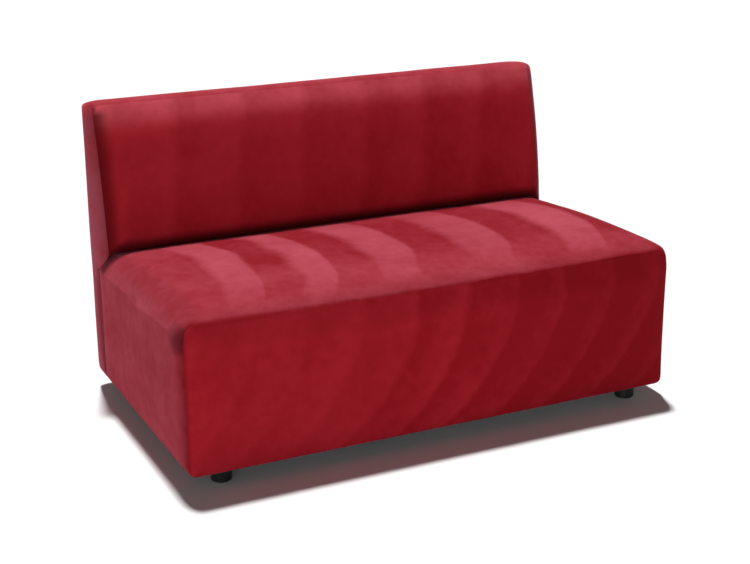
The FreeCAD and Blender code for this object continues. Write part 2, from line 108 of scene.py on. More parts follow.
# Lip of the back, which hangs over the rear of the seat
BACK_LIP_ROUND = 0.024
LIP_END_ROUND = 0.010
LIP_END_RUN = 0.07
LIP_GAP = 0.0005
LIP_RISE = 0.0055
LIP_REAR = SEAT_REAR_TOP + LIP_GAP
LIP_FRONT = SEAT_REAR_TOP + LIP_RISE
LIP_Y = JOINT - BACK_REACH

# Droop of the back's right end: how much, how far along the width, and from which height to which
RIGHT_DROOP = 0.008
DROOP_RUN = 0.11
DROOP_FROM, DROOP_FULL = 0.60, 0.76

# Blocks before they swell: room inside the covers, press at the joint, seams and spacing of points
ROOM = 0.001
PRESS = 0.001
SEAT_SEAM_TURN = 142.0
BACK_SEAM_TURN = 138.0
SEAT_SEAM_RUN = 0.004
BACK_SEAM_RUN = 0.012
FINE_PITCH = 0.0042
WIDE_PITCH = 0.017
ROUND_STEPS = 8
TRACE_POINTS = 60

# Cloth: the most that it swells between the ends and near them, and the waves of the padding
CLOTH_FRAMES = 20
SWELL = 0.008
END_SWELL = 0.005
END_SWELL_RUN, SWELL_RUN = 0.01, 0.12
HELD_ABOVE_LIP = 0.002
PADDING_WAVE = 0.0022
PADDING_PITCH = 0.16
SEAT_SEED = 3.1
BACK_SEED = 7.7

# Grooves along the sewn lines: depth and half width
FLUSH_SEAM = (0.0012, 0.0040)
TOP_SEAM = (0.0003, 0.0040)
REAR_SEAM = (0.0020, 0.0045)
SIDE_SEAM = (0.0032, 0.0080)
DEEP_SEAM = (0.0055, 0.0110)
SEAT_PUCKER = (0.0050, 0.0180)
BACK_PUCKER = (0.0020, 0.0150)

# Seams: marks on each stretch, share of shade in the folds, and hold on the cloth
SEAM_MARKS = 4
FOLD_SHADE = 0.7
SEAM_HOLD = 0.92

# Hem: lap over the dust cover, depth of the underside, and height over which the waves grow
HEM_LAP = 0.015
HEM_DEPTH = 0.004
HEM_RISE = 0.030

# Face groups on each soft block
FRONT_SIDE, TOP_SIDE, REAR_SIDE, LOW_SIDE, END_CAP = range(5)


def smooth(low, high, value):
    t = np.clip((value - low) / (high - low), 0, 1)
    return t * t * (3 - 2 * t)


# Outlines in Y and Z: each run is an array of y, z and the wanted spacing


def straight(a, b, pitch):
    t = np.linspace(0, 1, TRACE_POINTS)
    y = a[0] + (b[0] - a[0]) * t
    z = a[1] + (b[1] - a[1]) * t
    return np.column_stack([y, z, np.full(TRACE_POINTS, pitch)])


def turned(centre, radius, start, stop, pitch):
    a = np.radians(np.linspace(start, stop, TRACE_POINTS))
    y = centre[0] + radius * np.cos(a)
    z = centre[1] + radius * np.sin(a)
    return np.column_stack([y, z, np.full(TRACE_POINTS, pitch)])


def bowed(a, b, rise, pitch):
    # From a to b, standing off the straight line by the rise, to the left of the way a to b
    run = straight(a, b, pitch)
    t = np.linspace(0, 1, TRACE_POINTS)
    dy = b[0] - a[0]
    dz = b[1] - a[1]
    off = 4 * rise * t * (1 - t) / math.hypot(dy, dz)
    run[:, 0] -= dz * off
    run[:, 1] += dy * off
    return run


def on_round(centre, radius, degrees):
    turn = math.radians(degrees)
    return (centre[0] + radius * math.cos(turn), centre[1] + radius * math.sin(turn))


def end_inset(run, radius):
    # How far a rounded end draws an edge in, at a run from the end
    if run >= radius:
        return 0.0
    return radius - math.sqrt(radius ** 2 - (radius - run) ** 2)


def seat_sides(run):
    # Front, top, rear and underside of the seat, at a run from its end
    draw = ROOM + end_inset(run, SEAT_CORNER_ROUND)
    drop = ROOM + end_inset(run, SEAT_END_ROUND)
    low = UNDERSIDE + end_inset(run, BASE_END_ROUND)
    front = FRONT + draw
    rear = JOINT + PRESS - end_inset(run, SEAT_REAR_ROUND)
    top = SEAT_FRONT_TOP - drop
    rear_top = SEAT_REAR_TOP - drop
    edge = max(SEAT_EDGE_ROUND - draw, FINE_PITCH)
    base = BASE_EDGE_ROUND
    heel = (front + base, low + base)
    brow = (front + edge, top - edge)
    face = [
        turned(heel, base, 225, 180, FINE_PITCH),
        straight((front, low + base), (front, top - edge), WIDE_PITCH),
        turned(brow, edge, 180, SEAT_SEAM_TURN, FINE_PITCH),
    ]
    upper = [
        turned(brow, edge, SEAT_SEAM_TURN, 90, FINE_PITCH),
        bowed((front + edge, top), (rear, rear_top), SEAT_CROWN, WIDE_PITCH),
    ]
    behind = [straight((rear, rear_top), (rear, low), WIDE_PITCH)]
    under = [
        straight((rear, low), (front + base, low), WIDE_PITCH),
        turned(heel, base, 270, 225, FINE_PITCH),
    ]
    return [np.vstack(side) for side in (face, upper, behind, under)]


def back_sides(run):
    # Front, top, rear and underside of the back, at a run from its end
    draw = ROOM + end_inset(run, BACK_SIDE_ROUND)
    top = HEIGHT - ROOM - end_inset(run, BACK_END_ROUND) * BACK_END_DROP / BACK_END_ROUND
    low = UNDERSIDE + end_inset(run, BACK_BASE_ROUND)
    drop = end_inset(run, SEAT_END_ROUND)
    lip_round = BACK_LIP_ROUND + (LIP_END_ROUND - BACK_LIP_ROUND) * smooth(LIP_END_RUN, 0.0, run)
    joint = JOINT - PRESS + end_inset(run, BACK_JOINT_ROUND)
    rear = REAR - ROOM - end_inset(run, BACK_REAR_ROUND)
    upper = JOINT + BACK_SETBACK + draw
    lower = LIP_Y + draw
    head_round = min(BACK_TOP_ROUND, (rear - upper) / 2 - ROOM)
    head = (upper + head_round, top - head_round)
    nape = (rear - head_round, top - head_round)
    lip = (lower + lip_round, LIP_FRONT - drop + lip_round)
    heel = (rear - BASE_EDGE_ROUND, low + BASE_EDGE_ROUND)
    lean = math.degrees(math.atan2(BACK_REACH + BACK_SETBACK, HEIGHT - BACK_TOP_ROUND - LIP_FRONT))
    bow = math.degrees(math.atan2(4 * BACK_CROWN, HEIGHT - BACK_TOP_ROUND - LIP_FRONT))
    low_front = on_round(lip, lip_round, 180 - lean + bow)
    high_front = on_round(head, head_round, 180 - lean - bow)
    face = [
        straight((joint, low), (joint, LIP_REAR - drop), WIDE_PITCH),
        straight((joint, LIP_REAR - drop), (lip[0], LIP_FRONT - drop), 2 * FINE_PITCH),
        turned(lip, lip_round, 270, 180 - lean + bow, FINE_PITCH),
        bowed(low_front, high_front, BACK_CROWN, WIDE_PITCH),
        turned(head, head_round, 180 - lean - bow, BACK_SEAM_TURN, FINE_PITCH),
    ]
    brow = [
        turned(head, head_round, BACK_SEAM_TURN, 90, FINE_PITCH),
        straight((head[0], top), (nape[0], top), FINE_PITCH),
        turned(nape, head_round, 90, 45, FINE_PITCH),
    ]
    spine = [
        turned(nape, head_round, 45, 0, FINE_PITCH),
        straight((rear, nape[1]), (rear, heel[1]), WIDE_PITCH),
        turned(heel, BASE_EDGE_ROUND, 0, -45, FINE_PITCH),
    ]
    under = [
        turned(heel, BASE_EDGE_ROUND, -45, -90, FINE_PITCH),
        straight((heel[0], low), (joint, low), WIDE_PITCH),
    ]
    return [np.vstack(side) for side in (face, brow, spine, under)]


def spaced(side):
    # Running count of wanted steps along a side
    step = np.linalg.norm(np.diff(side[:, :2], axis=0), axis=1) / side[1:, 2]
    return np.concatenate([[0.0], np.cumsum(step)])


def sampled(side, count):
    measure = spaced(side)
    stops = np.linspace(0, measure[-1], count + 1)
    return np.column_stack([np.interp(stops, measure, side[:, k]) for k in (0, 1)])


def paired(side, lead, axis):
    # Points on a side whose places along one axis follow those of the opposite side
    share = (lead[:, axis] - lead[0, axis]) / (lead[-1, axis] - lead[0, axis])
    along = (side[::-1, axis] - side[-1, axis]) / (side[0, axis] - side[-1, axis])
    share = np.maximum.accumulate(np.clip(share, 0, 1))
    other = [np.interp(share, along, side[::-1, k]) for k in (0, 1)]
    return np.column_stack(other)[::-1]


class SoftBlock:
    """Closed upholstered block: a loft of section rings from end to end, with both ends capped."""

    def __init__(self, sides_at, end_round, seam_run):
        middle = sides_at(END)
        self.rise = round(spaced(middle[FRONT_SIDE])[-1])
        self.reach = round(spaced(middle[TOP_SIDE])[-1])
        self.runs = self.stations(end_round)
        self.seam_at = int(np.argmin([abs(run - seam_run) for run in self.runs]))
        runs = self.runs + self.runs[::-1]
        places = [run - END + ROOM for run in self.runs]
        places += [END - ROOM - run for run in reversed(self.runs)]
        rings = [self.ring(sides_at(run)) for run in runs]
        self.around = len(rings[0])
        self.points = [np.column_stack([np.full(self.around, x), r]) for x, r in zip(places, rings)]
        self.count = len(places)
        self.faces = []
        self.groups = []
        self.skin()
        self.points = list(np.vstack(self.points))
        self.cap(0)
        self.cap(self.count - 1)
        self.points = np.array(self.points)

    def stations(self, end_round):
        turns = [math.pi / 2 * k / ROUND_STEPS for k in range(ROUND_STEPS + 1)]
        runs = [end_round * (1 - math.cos(a)) for a in turns]
        inner = END - ROOM - end_round
        steps = math.ceil(inner / WIDE_PITCH)
        return runs + [end_round + inner * (k + 0.5) / steps for k in range(steps)]

    def ring(self, sides):
        face = sampled(sides[FRONT_SIDE], self.rise)
        upper = sampled(sides[TOP_SIDE], self.reach)
        rear = paired(sides[REAR_SIDE], face, 1)
        under = paired(sides[LOW_SIDE], upper, 0)
        return np.vstack([face[:-1], upper[:-1], rear[:-1], under[:-1]])

    def at(self, station, k):
        return station * self.around + k % self.around

    def side_of(self, k):
        bounds = np.cumsum([self.rise, self.reach, self.rise])
        return int(np.searchsorted(bounds, k, side="right"))

    def skin(self):
        for s in range(self.count - 1):
            for k in range(self.around):
                near = (self.at(s, k), self.at(s, k + 1))
                far = (self.at(s + 1, k + 1), self.at(s + 1, k))
                self.faces.append(near + far)
                self.groups.append((self.side_of(k), min(s, self.count - 2 - s)))

    def edges_of_cap(self, station):
        n, m = self.rise, self.reach
        face = [self.at(station, i) for i in range(n + 1)]
        rear = [self.at(station, 2 * n + m - i) for i in range(n + 1)]
        upper = [self.at(station, n + j) for j in range(m + 1)]
        under = [self.at(station, -j) for j in range(m + 1)]
        return face, rear, upper, under

    def cap(self, station):
        n, m = self.rise, self.reach
        face, rear, upper, under = self.edges_of_cap(station)
        p = self.points
        grid = {}
        for i in range(n + 1):
            grid[i, 0] = face[i]
            grid[i, m] = rear[i]
        for j in range(m + 1):
            grid[0, j] = under[j]
            grid[n, j] = upper[j]
        for i in range(1, n):
            for j in range(1, m):
                u, v = j / m, i / n
                spread = (1 - u) * p[face[i]] + u * p[rear[i]] + (1 - v) * p[under[j]] + v * p[upper[j]]
                low = (1 - u) * p[face[0]] + u * p[rear[0]]
                high = (1 - u) * p[face[n]] + u * p[rear[n]]
                grid[i, j] = len(self.points)
                self.points.append(spread - (1 - v) * low - v * high)
        for i in range(n):
            for j in range(m):
                self.faces.append((grid[i, j], grid[i + 1, j], grid[i + 1, j + 1], grid[i, j + 1]))
                self.groups.append((END_CAP, 0))

    def seam_rows(self):
        # Index rows of the sewn lines: along the top of the front, and up both of its ends
        ends = (self.seam_at, self.count - 1 - self.seam_at)
        rows = [[self.at(s, self.rise) for s in range(ends[0], ends[1] + 1)]]
        for s in ends:
            rows.append([self.at(s, k) for k in range(self.rise + 1)])
        return rows

    def rear_rows(self):
        # The same for the rear panel
        ends = (self.seam_at, self.count - 1 - self.seam_at)
        first = self.rise + self.reach
        rows = [[self.at(s, first) for s in range(ends[0], ends[1] + 1)]]
        for s in ends:
            rows.append([self.at(s, first + k) for k in range(self.rise + 1)])
        return rows

    def mesh(self, name, panel_of):
        mesh = bpy.data.meshes.new(name)
        mesh.from_pydata([tuple(p) for p in self.points], [], self.faces)
        for poly, group in zip(mesh.polygons, self.groups):
            poly.material_index = panel_of(*group)
        tidy = bmesh.new()
        tidy.from_mesh(mesh)
        bmesh.ops.recalc_face_normals(tidy, faces=tidy.faces)
        tidy.to_mesh(mesh)
        tidy.free()
        return mesh


# Cloth


def simulate(obj, hold):
    # Blows the closed cover up against its held seams; the ends, which lie on thin pads, swell less
    group = obj.vertex_groups.new(name="held")
    for index, weight in enumerate(hold):
        if weight > 0:
            group.add([index], float(weight), "REPLACE")
    start = np.array([v.co for v in obj.data.vertices])
    cloth = obj.modifiers.new("Cloth", "CLOTH")
    settings = cloth.settings
    settings.quality = 4
    settings.mass = 0.3
    settings.tension_stiffness = 18
    settings.compression_stiffness = 18
    settings.shear_stiffness = 8
    settings.bending_stiffness = 4.0
    settings.use_pressure = True
    settings.uniform_pressure_force = 4.0
    settings.vertex_group_mass = group.name
    settings.effector_weights.gravity = 0
    cloth.collision_settings.use_collision = False
    cloth.collision_settings.use_self_collision = False
    scene = bpy.context.scene
    for step in range(1, CLOTH_FRAMES + 1):
        scene.frame_set(step)
    shown = obj.evaluated_get(bpy.context.evaluated_depsgraph_get())
    moved = np.array([v.co for v in shown.data.vertices]) - start
    scene.frame_set(1)
    obj.modifiers.remove(cloth)
    obj.vertex_groups.remove(group)
    length = np.linalg.norm(moved, axis=1)
    inward = smooth(END - END_SWELL_RUN, END - SWELL_RUN, np.abs(start[:, 0]))
    most = END_SWELL + (SWELL - END_SWELL) * inward
    scale = np.minimum(1.0, most / np.maximum(length, 1e-9))
    end = start + moved * scale[:, None]
    obj.data.vertices.foreach_set("co", end.ravel())
    obj.data.update()


def subdivided(obj):
    obj.modifiers.new("Subdivision", "SUBSURF").levels = 1
    shown = obj.evaluated_get(bpy.context.evaluated_depsgraph_get())
    mesh = bpy.data.meshes.new_from_object(shown)
    obj.modifiers.clear()
    obj.data = mesh


def near_line(points, line):
    # Distance from each point to a sewn line
    marks = [line[-1]]
    for a, b in zip(line, line[1:]):
        marks.extend(a + (b - a) * (k / SEAM_MARKS) for k in range(SEAM_MARKS))
    tree = kdtree.KDTree(len(marks))
    for k, mark in enumerate(marks):
        tree.insert(mark, k)
    tree.balance()
    return np.array([tree.find(p)[2] for p in points])


def sew(obj, seams, corners, pucker):
    # Draws the cover in along its seams, puckers it where three panels meet, and stores painted shade
    # for those folds
    mesh = obj.data
    points = np.array([v.co for v in mesh.vertices])
    normals = np.array([v.normal for v in mesh.vertices])
    inward = np.zeros(len(points))
    for line, depth, width in seams:
        inward = np.maximum(inward, depth * np.exp(-(near_line(points, line) / width) ** 2))
    for corner in corners:
        away = np.linalg.norm(points - corner, axis=1)
        inward += pucker[0] * np.exp(-(away / pucker[1]) ** 2)
    points -= normals * inward[:, None]
    mesh.vertices.foreach_set("co", points.ravel())
    # Painted shade: the deeper a seam or pucker draws the cover in, the darker the colour there
    seam_shade = mesh.attributes.new("seam_shade", "FLOAT", "POINT")
    seam_shade.data.foreach_set("value", (FOLD_SHADE * smooth(0.0, DEEP_SEAM[0], inward)).astype(np.float32))
    mesh.update()


def ripple(obj, seed):
    # Slow unevenness of the padding, which only ever lifts the cover off the frame; the hem lies flat
    mesh = obj.data
    points = np.array([v.co for v in mesh.vertices])
    normals = np.array([v.normal for v in mesh.vertices])
    shift = Vector((seed, 2.0 * seed, 3.0 * seed))
    wave = np.array([1 + noise.noise(Vector(p) / PADDING_PITCH + shift) for p in points])
    wave *= smooth(UNDERSIDE, UNDERSIDE + HEM_RISE, points[:, 2])
    points += normals * (0.5 * PADDING_WAVE * wave)[:, None]
    mesh.vertices.foreach_set("co", points.ravel())
    mesh.update()


def under_sheet(face):
    # Whether a face of the underside lies above the dust cover, out of reach of the hem
    middle = face.calc_center_median()
    inside = all(SHEET_LOW[k] + HEM_LAP < middle[k] < SHEET_HIGH[k] - HEM_LAP for k in (0, 1))
    return inside and middle.z < UNDERSIDE + HEM_DEPTH


def split(obj, names):
    # One object for each panel; panels meet edge to edge along the sewn lines, and end in a hem below
    panels = []
    for index, name in enumerate(names):
        part = bmesh.new()
        part.from_mesh(obj.data)
        others = [f for f in part.faces if f.material_index != index or under_sheet(f)]
        bmesh.ops.delete(part, geom=others, context="FACES")
        for face in part.faces:
            face.material_index = 0
            face.smooth = True
        mesh = bpy.data.meshes.new(name)
        part.to_mesh(mesh)
        part.free()
        panel = bpy.data.objects.new(name, mesh)
        bpy.context.collection.objects.link(panel)
        panels.append(panel)
    bpy.data.objects.remove(obj)
    return panels


def upholster(block, name, panel_of, panel_names, hold, seams, corner_ids, pucker, seed):
    obj = bpy.data.objects.new(name, block.mesh(name, panel_of))
    bpy.context.collection.objects.link(obj)
    simulate(obj, hold)
    settled = [v.co.copy() for v in obj.data.vertices]
    drawn = [([settled[k] for k in row], depth, width) for row, (depth, width) in seams]
    corners = [np.array(settled[k]) for k in corner_ids]
    subdivided(obj)
    ripple(obj, seed)
    sew(obj, drawn, corners, pucker)
    return split(obj, panel_names)


def seat_panel(side, station, seam_at):
    # 0 is the top panel, which also runs down both ends; 1 is the front border
    return 1 if side == FRONT_SIDE and station >= seam_at else 0


def back_panel(side, station, seam_at):
    # 0 is the inside panel, 1 the boxing round it, 2 the outside panel
    if station < seam_at or side == END_CAP:
        return 1
    return {FRONT_SIDE: 0, REAR_SIDE: 2}.get(side, 1)


def held_points(block, sides, seams):
    # Held points: whole sides that lie on the frame, and the seams a little less
    hold = np.zeros(len(block.points))
    for row, _ in seams:
        hold[row] = SEAM_HOLD
    for face, (side, _) in zip(block.faces, block.groups):
        if side in sides:
            hold[list(face)] = 1.0
    return hold


def dip_front_edge(block):
    # The front edge of the seat sags a little between its ends, and its seam wavers
    x, y, z = block.points.T
    middle = 1 - (x / END) ** 2
    share = middle * smooth(DIP_NONE_Y, DIP_FULL_Y, y) * smooth(DIP_NONE_Z, DIP_FULL_Z, z)
    wave = np.array([noise.noise(Vector((SEAM_WAVE_RATE * place, SEAM_WAVE_ROW, 0.0))) for place in x])
    near = smooth(SEAM_NONE_Y, FRONT, y) * smooth(SEAM_NONE_Z, DIP_FULL_Z, z)
    block.points[:, 2] -= FRONT_DIP * share + SEAM_WAVE * wave * near


def droop_right_end(block):
    # The top of the back hangs a little at its right end
    x, _, z = block.points.T
    share = np.clip((x - END + DROOP_RUN) / DROOP_RUN, 0, 1) ** 2
    block.points[:, 2] -= RIGHT_DROOP * share * smooth(DROOP_FROM, DROOP_FULL, z)


def make_seat():
    block = SoftBlock(seat_sides, SEAT_END_ROUND, SEAT_SEAM_RUN)
    dip_front_edge(block)
    rows = block.seam_rows()
    seams = list(zip(rows, (FLUSH_SEAM, SIDE_SEAM, SIDE_SEAM)))
    hold = held_points(block, (REAR_SIDE, LOW_SIDE), seams)
    corners = [rows[0][0], rows[0][-1]]

    def panel_of(side, station):
        return seat_panel(side, station, block.seam_at)

    names = ("seat_top_panel", "seat_front_panel")
    return upholster(block, "seat", panel_of, names, hold, seams, corners, SEAT_PUCKER, SEAT_SEED)


def make_back():
    block = SoftBlock(back_sides, BACK_END_ROUND, BACK_SEAM_RUN)
    droop_right_end(block)
    rows = block.seam_rows()
    above = [[k for k in row if block.points[k, 2] > LIP_FRONT] for row in rows[1:]]
    seams = [(rows[0], TOP_SEAM)] + [(row, DEEP_SEAM) for row in above]
    seams += [(row, REAR_SEAM) for row in block.rear_rows()]
    hold = held_points(block, (REAR_SIDE, LOW_SIDE), seams)
    behind_seat = block.points[:, 2] < LIP_FRONT + HELD_ABOVE_LIP
    between_ends = np.abs(block.points[:, 0]) < END - BACK_END_ROUND
    hold[behind_seat & between_ends] = 1.0
    corners = [rows[0][0], rows[0][-1]]

    def panel_of(side, station):
        return back_panel(side, station, block.seam_at)

    names = ("back_inside_panel", "back_boxing_panel", "back_outside_panel")
    return upholster(block, "back", panel_of, names, hold, seams, corners, BACK_PUCKER, BACK_SEED)


# Materials

# The part of a noise's range where most of its values lie
NOISE_LOW, NOISE_HIGH = 0.3, 0.7


class Shader:
    """Small helper that builds one procedural material round a Principled shader."""

    def __init__(self, name, **constants):
        self.material = bpy.data.materials.new(name)
        self.material.use_nodes = True
        self.tree = self.material.node_tree
        self.shader = self.tree.nodes["Principled BSDF"]
        for key, value in constants.items():
            self.shader.inputs[key.replace("_", " ")].default_value = value
        place = self.tree.nodes.new("ShaderNodeTexCoord")
        self.place = place.outputs["Object"]
        parts = self.node("ShaderNodeSeparateXYZ", Vector=self.place)
        self.x, self.y, self.z = parts.outputs

    def node(self, kind, **inputs):
        made = self.tree.nodes.new(kind)
        for key, value in inputs.items():
            self.feed(made.inputs[key.replace("_", " ")], value)
        return made

    def feed(self, socket, value):
        if isinstance(value, bpy.types.NodeSocket):
            self.tree.links.new(value, socket)
        else:
            socket.default_value = value

    def math(self, operation, *values):
        made = self.tree.nodes.new("ShaderNodeMath")
        made.operation = operation
        for socket, value in zip(made.inputs, values):
            self.feed(socket, value)
        return made.outputs[0]

    def chain(self, operation, values):
        # The same operation all along a row of values
        result = values[0]
        for value in values[1:]:
            result = self.math(operation, result, value)
        return result

    def total(self, *values):
        return self.chain("ADD", values)

    def product(self, *values):
        return self.chain("MULTIPLY", values)

    def most(self, *values):
        return self.chain("MAXIMUM", values)

    def apart(self, value, place):
        return self.math("ABSOLUTE", self.math("SUBTRACT", value, place))

    def ease(self, value, low, high, to_low=0.0, to_high=1.0):
        made = self.node("ShaderNodeMapRange", Value=value, From_Min=low, From_Max=high)
        made.interpolation_type = "SMOOTHSTEP"
        made.inputs["To Min"].default_value = to_low
        made.inputs["To Max"].default_value = to_high
        return made.outputs["Result"]

    def stored(self, name):
        made = self.tree.nodes.new("ShaderNodeAttribute")
        made.attribute_name = name
        return made.outputs["Fac"]

    def joined(self, x, y, z):
        return self.node("ShaderNodeCombineXYZ", X=x, Y=y, Z=z).outputs[0]

    def noise(self, scale, detail=2.0, vector=None):
        made = self.node("ShaderNodeTexNoise", Vector=vector or self.place, Scale=scale, Detail=detail)
        return made.outputs["Fac"]

    def patches(self, scale, detail, dark, light):
        return self.ease(self.noise(scale, detail), NOISE_LOW, NOISE_HIGH, dark, light)

    def ramp(self, value, stops):
        made = self.node("ShaderNodeValToRGB", Fac=value)
        elements = made.color_ramp.elements
        while len(elements) < len(stops):
            elements.new(1.0)
        for element, (place, level) in zip(elements, stops):
            element.position = place
            element.color = (level, level, level, 1.0) if isinstance(level, float) else (*level, 1.0)
        return made.outputs["Color"]

    def mix(self, share, a, b):
        made = self.tree.nodes.new("ShaderNodeMix")
        made.data_type = "RGBA"
        self.feed(made.inputs["Factor"], share)
        self.feed(made.inputs[6], a)
        self.feed(made.inputs[7], b)
        return made.outputs[2]

    def colour(self, socket):
        self.feed(self.shader.inputs["Base Color"], socket)

    def roughness(self, socket):
        self.feed(self.shader.inputs["Roughness"], socket)

    def bump(self, height, strength, distance):
        made = self.node("ShaderNodeBump", Height=height, Strength=strength, Distance=distance)
        self.feed(self.shader.inputs["Normal"], made.outputs["Normal"])


# Pile brushed flat is deep red, pile brushed up is paler, painted shade is nearly black
NAP_DARK = (0.25, 0.0065, 0.0115, 1.0)
NAP_RED = (0.43, 0.022, 0.034, 1.0)
# The pink, side and rose colours are also paler and pinker as a painted sheen
PINK_PILE_AND_SHEEN = (0.49, 0.080, 0.112, 1.0)
SIDE_PILE_AND_SHEEN = (0.31, 0.072, 0.100, 1.0)
ROSE_PILE_AND_SHEEN = (0.53, 0.071, 0.092, 1.0)
PAINTED_SHADE = (0.045, 0.0008, 0.0012, 1.0)
SHEEN_TINT = (1.0, 0.30, 0.42, 1.0)

# Unevenness of the pile: scale, detail, and what a dark and a light patch add to the nap
CLOUD = (9.0, 3.0, -0.07, 0.07)
MOTTLE = (38.0, 4.0, -0.07, 0.07)

# Single hairs: scale and detail, and ranges of shift in nap and of roughness
HAIR = (700.0, 2.0)
HAIR_NAP = (0.25, 0.75, -0.06, 0.06)
HAIR_ROUGHNESS = (0.2, 0.8, 0.78, 0.95)

# Tufts of hair in the relief: scale and detail, share beside the hairs, strength and depth in all
TUFT = (160.0, 3.0)
TUFT_SHARE = 0.8
PILE_STRENGTH = 0.25
PILE_DEPTH = 0.0006

# Heights over which a painted sheen turns the pile rose along the top, on the boxing and on the back
BOXING_TOP_SHEEN = (HEIGHT - 0.050, HEIGHT - 0.015)
BACK_TOP_SHEEN = (0.69, 0.76)


def red_pile(s):
    return NAP_RED


def pink_pile_and_sheen(s):
    return PINK_PILE_AND_SHEEN


def side_pile_and_sheen(s):
    return s.mix(s.ease(s.z, *BOXING_TOP_SHEEN), SIDE_PILE_AND_SHEEN, ROSE_PILE_AND_SHEEN)


def back_pile_and_sheen(s):
    return s.mix(s.ease(s.z, *BACK_TOP_SHEEN), NAP_RED, ROSE_PILE_AND_SHEEN)


def velvet(name, pale_of, nap_of, painted_shade_of, seam_shade, sheen):
    s = Shader(name, Sheen_Weight=sheen, Sheen_Roughness=0.42, Sheen_Tint=SHEEN_TINT,
               Specular_IOR_Level=0.01)
    hair = s.noise(*HAIR)
    mottle = s.total(s.patches(*CLOUD), s.patches(*MOTTLE))
    nap = s.total(nap_of(s), mottle, s.ease(hair, *HAIR_NAP))
    pile_before_shade = s.mix(s.math("MINIMUM", s.most(nap, 0.0), 1.0), NAP_DARK, pale_of(s))
    # Painted shade: seam grooves and each panel's own masks turn the pile nearly black
    painted_shade_share = s.most(s.product(s.stored("seam_shade"), seam_shade), painted_shade_of(s))
    s.colour(s.mix(painted_shade_share, pile_before_shade, PAINTED_SHADE))
    s.roughness(s.ease(hair, *HAIR_ROUGHNESS))
    s.bump(s.total(hair, s.product(s.noise(*TUFT), TUFT_SHARE)), PILE_STRENGTH, PILE_DEPTH)
    return s.material


# In what follows a range has two places, and then the levels at these if they aren't 0 and 1

# Light strokes that a hand has brushed into the seat: left edge, right edge, along the width
SEAT_STROKES = ((-0.490, -0.373), (-0.283, -0.188), (-0.082, 0.040), (0.163, 0.298), (0.435, 0.565))
STROKE_SPAN = 0.75
STROKE_SOFT = 0.018
STROKE_SHARP = 0.014
STROKE_DARK = 0.05
STROKE_LIGHT = 0.72
STROKE_BEND = 0.6
STROKE_TURN_Y = -0.02
STROKE_WANDER = 0.05
STROKE_PATCHES = (8.0, 3.0, 0.82, 1.08)

# The strokes are faintest at one place along the width, and fade to the front and to the rear
FAINT_X = 0.12
FAINT_RANGE = (0.0, 0.40, 0.86, 1.06)
FULL_Y = -0.04
FULL_RANGE = (0.10, 0.30, 1.0, 0.70)

# Pile between the strokes: paler to the front, along a slanting line, and at the left end
PALE_SLANT = 0.12
PALE_FRONT = (-0.08, -0.24, 0.0, 0.30)
PALE_LEFT = (-0.48, -0.52, 0.0, 0.24)

# Where the brushed top begins, behind the front edge and above the ends
TOP_Y = (-0.360, -0.280)
TOP_Z = (0.37, 0.40)

# The rest of the seat cover: patches, paler upwards but not on the ends, darker to the right
SEAT_PATCHES = (6.0, 3.0, 0.20, 0.36)
SEAT_RISE = (0.20, 0.42, 0.0, 0.14)
SEAT_INWARD = (END - 0.02, END - 0.08)
SEAT_RIGHT = (0.10, 0.55, 1.0, 0.65)
# Painted shade: the pile is darker over the last two centimetres before the front seam
SEAT_EDGE = (FRONT + 0.004, FRONT + 0.022, 0.3, 1.0)

# A row of strokes side by side, from one edge to the next: place and level
ROW_PROFILE = ((0.0, 0.0), (0.20, 0.25), (0.82, 1.0), (1.0, 0.0))
ROW_WANDER = 0.04

# Strokes on the front: a first edge, their pitch, and the curve that they lean along
FRONT_ROW = (-0.101, 0.14)
FRONT_LEAN_Z = 0.23
FRONT_LEAN = -0.53
FRONT_CURVE = 1.66
FRONT_STRENGTH = (-0.40, 0.10, 0.10, 0.36)
# Painted falloff of light: the front's pile is paler on the left and darker to the right
FRONT_LEVEL = (-0.66, 0.45, 0.34, 0.02)

# Strokes on the back: a first edge, their pitch and lean, and the pile turned up along the top with a
# painted sheen
BACK_ROW = (-0.07, 0.18)
BACK_LEAN_Z = 0.61
BACK_LEAN = -0.15
BACK_STRENGTH = 0.26
# Painted falloff of light: the back's pile is paler on the left and darker to the right
BACK_LEVEL = (-0.66, 0.60, 0.48, 0.24)
BACK_TOP = (0.64, 0.765, 0.0, 0.41)
BACK_TOP_PATCHES = (14.0, 2.0, -0.012, 0.012)

# Covers without strokes
PLAIN_PATCHES = (7.0, 3.0, 0.16, 0.36)
# The boxing's pile is paler all over, part of its painted sheen
BOXING_PATCHES = (7.0, 3.0, 0.44, 0.62)


def band_stops(bands):
    # Ramp stops for strokes with a soft left edge and a sharp right edge
    stops = [(0.0, STROKE_DARK)]
    for left, right in bands:
        grows = ((left - STROKE_SOFT, STROKE_DARK), (left + STROKE_SOFT, STROKE_LIGHT))
        ends = ((right - STROKE_SHARP, STROKE_LIGHT), (right, STROKE_DARK))
        for place, level in grows + ends:
            stops.append(((place + STROKE_SPAN) / (2 * STROKE_SPAN), level))
    return stops


def wander(s, reach):
    # A slow drift to both sides, for edges that a hand has drawn
    return s.product(s.math("SUBTRACT", s.noise(5.0, 2.0), 0.5), reach)


